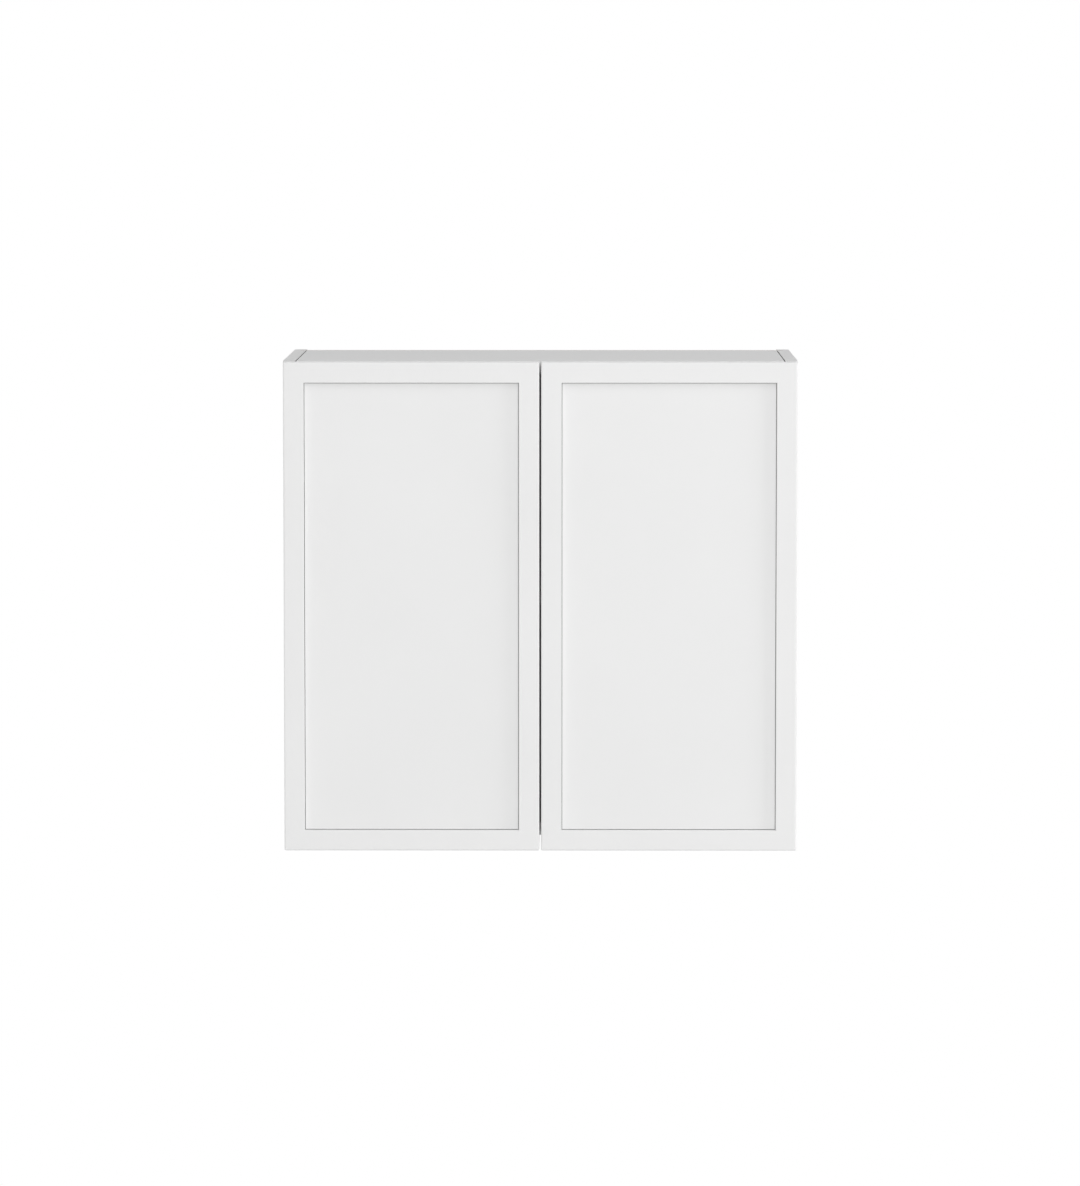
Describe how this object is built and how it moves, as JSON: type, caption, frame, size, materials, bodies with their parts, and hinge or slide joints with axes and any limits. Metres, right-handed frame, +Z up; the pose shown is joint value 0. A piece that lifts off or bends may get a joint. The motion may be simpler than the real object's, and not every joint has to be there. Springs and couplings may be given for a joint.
{
  "type": "hanging wall cabinet",
  "caption": "White wall-hung storage cabinet with two handleless framed doors on cup hinges, a shelf inside and adjustable hangers at the back.",
  "frame": {"origin": "middle of the four wall screw holes, on the wall plane", "axes": "+X to the right seen from the front, +Y from the doors to the wall, +Z up"},
  "size_m": [0.6, 0.3345, 0.5715],
  "materials": {
    "melamine_board": "matte white melamine",
    "lacquered_mdf": "satin white lacquer",
    "hardboard": "white-faced hardboard",
    "beech": "raw beech",
    "clear_silicone": "clear soft silicone",
    "white_plastic": "fine textured",
    "grey_plastic": "moulded",
    "zinc_casting": "raw zinc",
    "zinc_plated_steel": "bright zinc",
    "nickel_plated_steel": "satin nickel"
  },
  "bodies": {
    "carcass": {"back_panel": "hardboard", "bottom_panel": "melamine_board", "cam_bolts": "zinc_plated_steel", "cam_locks": "zinc_casting", "left_arm_screws": "nickel_plated_steel", "left_hanger_cap": "white_plastic", "left_hanger_depth_screw": "zinc_plated_steel", "left_hanger_housing": "grey_plastic", "left_hanger_lift_screw": "zinc_plated_steel", "left_lower_hinge_arm": "nickel_plated_steel", "left_lower_hinge_plate": "nickel_plated_steel", "left_plate_screws": "nickel_plated_steel", "left_side": "melamine_board", "left_upper_hinge_arm": "nickel_plated_steel", "left_upper_hinge_plate": "nickel_plated_steel", "right_arm_screws": "nickel_plated_steel", "right_hanger_cap": "white_plastic", "right_hanger_depth_screw": "zinc_plated_steel", "right_hanger_housing": "grey_plastic", "right_hanger_lift_screw": "zinc_plated_steel", "right_lower_hinge_arm": "nickel_plated_steel", "right_lower_hinge_plate": "nickel_plated_steel", "right_plate_screws": "nickel_plated_steel", "right_side": "melamine_board", "right_upper_hinge_arm": "nickel_plated_steel", "right_upper_hinge_plate": "nickel_plated_steel", "shelf_supports": "nickel_plated_steel", "top_panel": "melamine_board", "wood_dowels": "beech"},
    "left_door": {"left_cup_screws": "nickel_plated_steel", "left_door_bottom_rail": "lacquered_mdf", "left_door_bumpers": "clear_silicone", "left_door_inner_stile": "lacquered_mdf", "left_door_outer_stile": "lacquered_mdf", "left_door_panel": "lacquered_mdf", "left_door_top_rail": "lacquered_mdf", "left_hinge_pins": "nickel_plated_steel", "left_hinge_springs": "nickel_plated_steel", "left_lower_hinge_cup": "nickel_plated_steel", "left_upper_hinge_cup": "nickel_plated_steel"},
    "right_door": {"right_cup_screws": "nickel_plated_steel", "right_door_bottom_rail": "lacquered_mdf", "right_door_bumpers": "clear_silicone", "right_door_inner_stile": "lacquered_mdf", "right_door_outer_stile": "lacquered_mdf", "right_door_panel": "lacquered_mdf", "right_door_top_rail": "lacquered_mdf", "right_hinge_pins": "nickel_plated_steel", "right_hinge_springs": "nickel_plated_steel", "right_lower_hinge_cup": "nickel_plated_steel", "right_upper_hinge_cup": "nickel_plated_steel"},
    "shelf": {"shelf": "melamine_board"},
    "left_hook": {"left_hanger_hook": "zinc_plated_steel", "left_wall_plate": "zinc_plated_steel"},
    "right_hook": {"right_hanger_hook": "zinc_plated_steel", "right_wall_plate": "zinc_plated_steel"}
  },
  "joints": [
    {"name": "left_door_hinge", "type": "hinge", "parent": "carcass", "child": "left_door", "pos_m": [-0.2916, -0.3215, -0.208], "axis": [0, 0, -1], "range_deg": [0, 95]},
    {"name": "right_door_hinge", "type": "hinge", "parent": "carcass", "child": "right_door", "pos_m": [0.2916, -0.3215, -0.208], "axis": [0, 0, 1], "range_deg": [0, 95]},
    {"name": "shelf_lift", "type": "slide", "parent": "carcass", "child": "shelf", "axis": [0, 0, 1], "range_m": [0, 0.03]},
    {"name": "left_hook_height", "type": "slide", "parent": "carcass", "child": "left_hook", "axis": [0, 0, 1], "range_m": [0, 0.008]},
    {"name": "right_hook_height", "type": "slide", "parent": "carcass", "child": "right_hook", "axis": [0, 0, 1], "range_m": [0, 0.008]}
  ]
}
